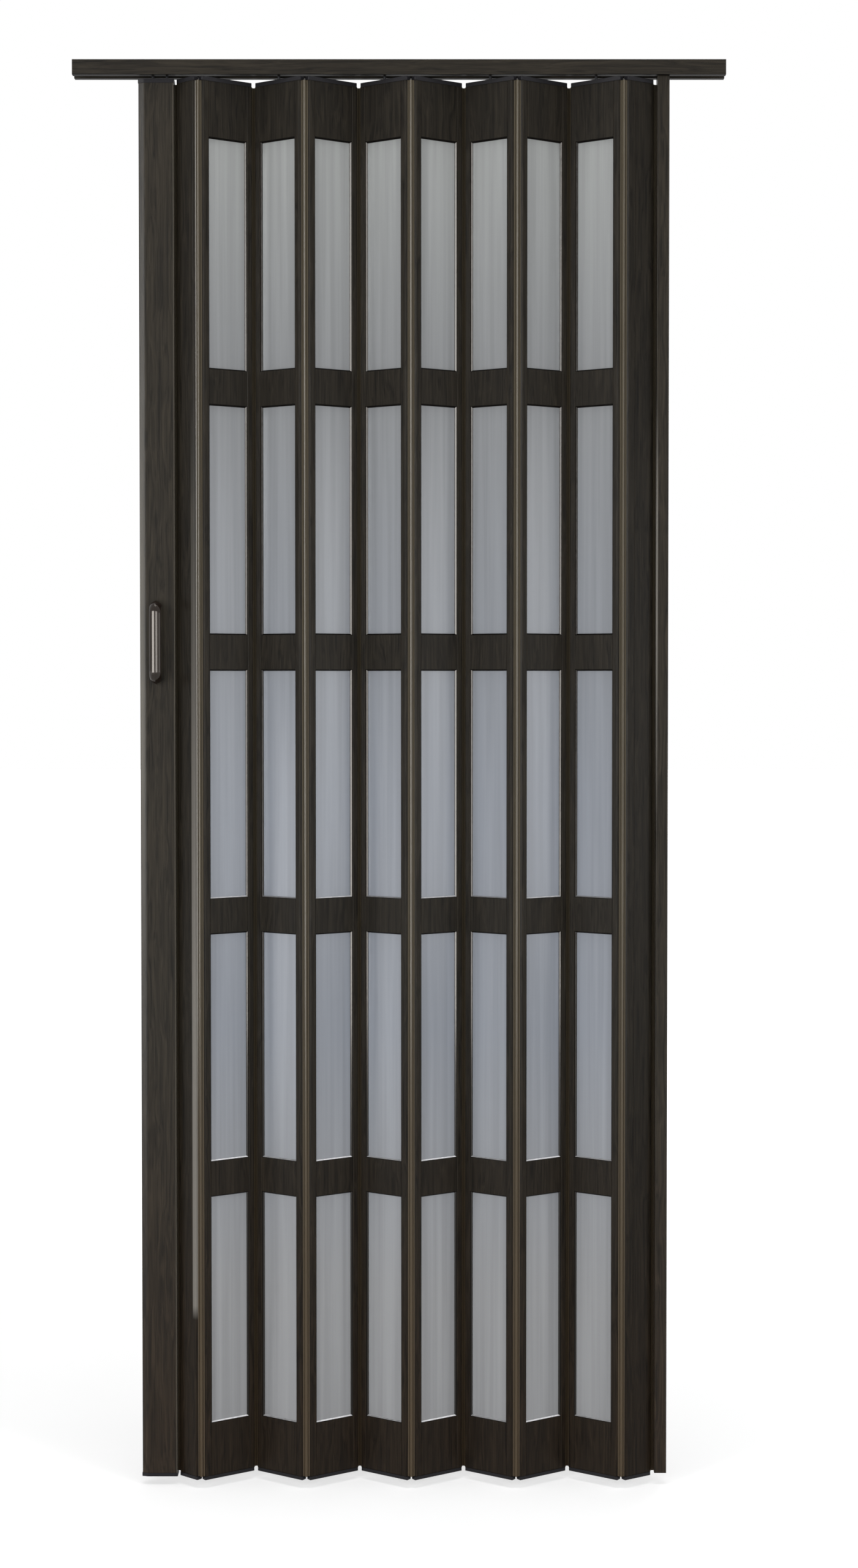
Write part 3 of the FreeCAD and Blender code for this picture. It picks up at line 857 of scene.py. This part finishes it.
class DOOR_OT_pull_handle(bpy.types.Operator):
    """Builds the glossy bow handle with its round ends"""

    bl_idname = "door.pull_handle"
    bl_label = "Pull handle"

    def execute(self, context):
        finishes, sizes, _ = settings()
        colour = finishes.handle_colour
        tint = (1.0, 0.93, 0.86)
        gloss = moulded_plastic("handle_plastic", colour, 0.07, 0.31, 0.003, 0.00001, 1.3, tint)
        section = (sizes.handle_width, sizes.handle_bar, sizes.handle_bend)
        grid = bow_surface(handle_low, handle_high, *section, post_low.y)
        bow = surface_piece("bow_handle", grid, gloss)
        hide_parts("pull_handle")
        return {"FINISHED"}


# Place that most of the lamps face: about half way up the door.
DOOR_MIDDLE = (0.05, 0.0, -0.95)

# Each lamp's name, place, target, width, height and radiance, and what alone it gives, if so.
LAMPS = (
    ("left_fill_lamp", (-2.65, -3.20, -0.57), DOOR_MIDDLE, 0.60, 2.75, 10.0, "diffuse"),
    ("right_fill_lamp", (2.60, -3.25, -0.57), DOOR_MIDDLE, 0.36, 2.75, 9.5, "diffuse"),
    ("left_strip_lamp", (-2.45, -2.95, -0.57), DOOR_MIDDLE, 0.90, 2.75, 16.0, "glossy"),
    ("right_strip_lamp", (2.40, -3.00, -0.57), DOOR_MIDDLE, 0.60, 2.75, 10.0, "glossy"),
    ("left_side_lamp", (-3.05, -0.93, -1.50), (-0.1, 0.0, -1.4), 0.40, 1.0, 3.0, None),
    ("right_side_lamp", (2.45, -1.00, -0.90), (0.05, 0.0, -1.0), 0.70, 1.2, 2.2, None),
    ("overhead_lamp", (0.0, -0.35, 1.7), DOOR_MIDDLE, 2.0, 1.0, 5.0, None),
    ("back_lamp", (1.6, 3.0, -0.60), DOOR_MIDDLE, 1.2, 2.2, 3.0, None),
)

# Distances from the rail's middle between which the floor turns from shadowed to plain white.
SHADOW_REACH = (2.4, 4.5)

# How far the floor shines by itself near the door, where 1 is white.
NEAR_GLOW = 0.44

# The two greys that the floor's cloudy tone runs between.
FLOOR_DARK = (0.80, 0.80, 0.80)
FLOOR_LIGHT = (0.84, 0.84, 0.84)


def area_lamp(name, place, target, width, height, radiance, only):
    """Rectangular soft lamp at a place, facing a target, as bright as a surface of that radiance.

    Where only is diffuse or glossy, it gives only the even light or only the reflections.
    """
    data = bpy.data.lights.new(name, "AREA")
    data.shape = "RECTANGLE"
    data.size = width
    data.size_y = height
    data.energy = radiance * math.pi * width * height
    lamp = bpy.data.objects.new(name, data)
    lamp.location = place
    lamp.rotation_euler = (Vector(target) - Vector(place)).to_track_quat("-Z", "Y").to_euler()
    lamp.visible_camera = False
    lamp.visible_diffuse = only != "glossy"
    lamp.visible_glossy = only != "diffuse"
    bpy.context.collection.objects.link(lamp)
    return lamp


def seen_share(tree):
    """1 for rays from the camera, from reflections and through panes, and 0 for the others."""
    path = add(tree, "LightPath")
    glossy = reckon(tree, "MAXIMUM", path.outputs["Is Camera Ray"], path.outputs["Is Glossy Ray"])
    return reckon(tree, "MAXIMUM", glossy, path.outputs["Is Transmission Ray"])


def make_sky(strength):
    """White world that is seen at strength 1 and lights the door at a lower one."""
    world = bpy.data.worlds.new("studio_sky")
    world.use_nodes = True
    tree = world.node_tree
    sky = tree.nodes["Background"]
    sky.inputs["Color"].default_value = (1.0, 1.0, 1.0, 1.0)
    join(tree, spread(tree, seen_share(tree), 0.0, 1.0, strength, 1.0), sky.inputs["Strength"])
    bpy.context.scene.world = world


def floor_finish():
    """Pale matt floor that shows the shadow near the door and is plain white further out."""
    material, tree, shader = new_finish("pale_floor", Roughness=0.9, Specular_IOR_Level=0.1)
    cloud = noise(tree, stretched(tree, *FLOOR_CLOUD), 2.0)
    join(tree, blend(tree, cloud, FLOOR_DARK, FLOOR_LIGHT), shader.inputs["Base Color"])
    shader.inputs["Emission Color"].default_value = (1.0, 1.0, 1.0, 1.0)
    place = add(tree, "TexCoord")
    reach = add(tree, "VectorMath", operation="LENGTH")
    join(tree, place.outputs["Object"], reach.inputs[0])
    far = spread(tree, reach.outputs["Value"], *SHADOW_REACH, NEAR_GLOW, 1.0)
    join(tree, reckon(tree, "MULTIPLY", seen_share(tree), far), shader.inputs["Emission Strength"])
    return material


class DOOR_OT_studio(bpy.types.Operator):
    """Sets up the pale floor, the soft lamps and the camera at the photograph's angle"""

    bl_idname = "door.studio"
    bl_label = "Studio"

    def execute(self, context):
        studio = settings()[2]
        make_sky(studio.sky_strength)
        half = studio.floor_size / 2
        level = cad_low.z - studio.floor_gap
        square = ((-half, -half), (half, -half), (half, half), (-half, half))
        corners = [(x, y, level) for x, y in square]
        mesh = bpy.data.meshes.new("floor")
        mesh.from_pydata(corners, [], [(0, 1, 2, 3)])
        mesh.materials.append(floor_finish())
        floor = bpy.data.objects.new("floor", mesh)
        context.collection.objects.link(floor)
        lamps = [area_lamp(*values) for values in LAMPS]
        data = bpy.data.cameras.new("camera")
        data.lens = studio.lens
        data.sensor_width = 36.0
        data.shift_x = studio.shift_x
        data.shift_y = studio.shift_y
        camera = bpy.data.objects.new("camera", data)
        camera.location = (studio.camera_x, -studio.camera_distance, -studio.camera_drop)
        camera.rotation_euler = (math.pi / 2 - studio.camera_pitch, 0.0, 0.0)
        context.collection.objects.link(camera)
        context.scene.camera = camera
        context.scene.view_settings.view_transform = "Standard"
        return {"FINISHED"}


STEPS = (
    DOOR_OT_top_rail,
    DOOR_OT_posts,
    DOOR_OT_panels,
    DOOR_OT_panes,
    DOOR_OT_beads,
    DOOR_OT_hinge_strips,
    DOOR_OT_end_caps,
    DOOR_OT_gliders,
    DOOR_OT_pull_handle,
    DOOR_OT_studio,
)


class DOOR_PT_sidebar(bpy.types.Panel):
    """Lists the door's values and the steps that finish it"""

    bl_idname = "DOOR_PT_sidebar"
    bl_label = "Folding door"
    bl_space_type = "VIEW_3D"
    bl_region_type = "UI"
    bl_category = "Folding door"

    def draw(self, context):
        for group in settings():
            for value in group.bl_rna.properties:
                if value.identifier not in {"rna_type", "name"}:
                    self.layout.prop(group, value.identifier)
        for step in STEPS:
            self.layout.operator(step.bl_idname)


GROUPS = {"door_finishes": DoorFinishes, "door_sizes": DoorSizes, "door_studio": StudioSettings}


def register():
    for group in GROUPS.values():
        bpy.utils.register_class(group)
    for cls in STEPS + (DOOR_PT_sidebar,):
        bpy.utils.register_class(cls)
    for name, group in GROUPS.items():
        setattr(bpy.types.Scene, name, bpy.props.PointerProperty(type=group))


def unregister():
    for name in GROUPS:
        delattr(bpy.types.Scene, name)
    for cls in reversed(tuple(GROUPS.values()) + STEPS + (DOOR_PT_sidebar,)):
        bpy.utils.unregister_class(cls)


def main():
    register()
    bpy.ops.door.top_rail()
    bpy.ops.door.posts()
    bpy.ops.door.panels()
    bpy.ops.door.panes()
    bpy.ops.door.beads()
    bpy.ops.door.hinge_strips()
    bpy.ops.door.end_caps()
    bpy.ops.door.gliders()
    bpy.ops.door.pull_handle()
    bpy.ops.door.studio()


if __name__ == "__main__":
    main()
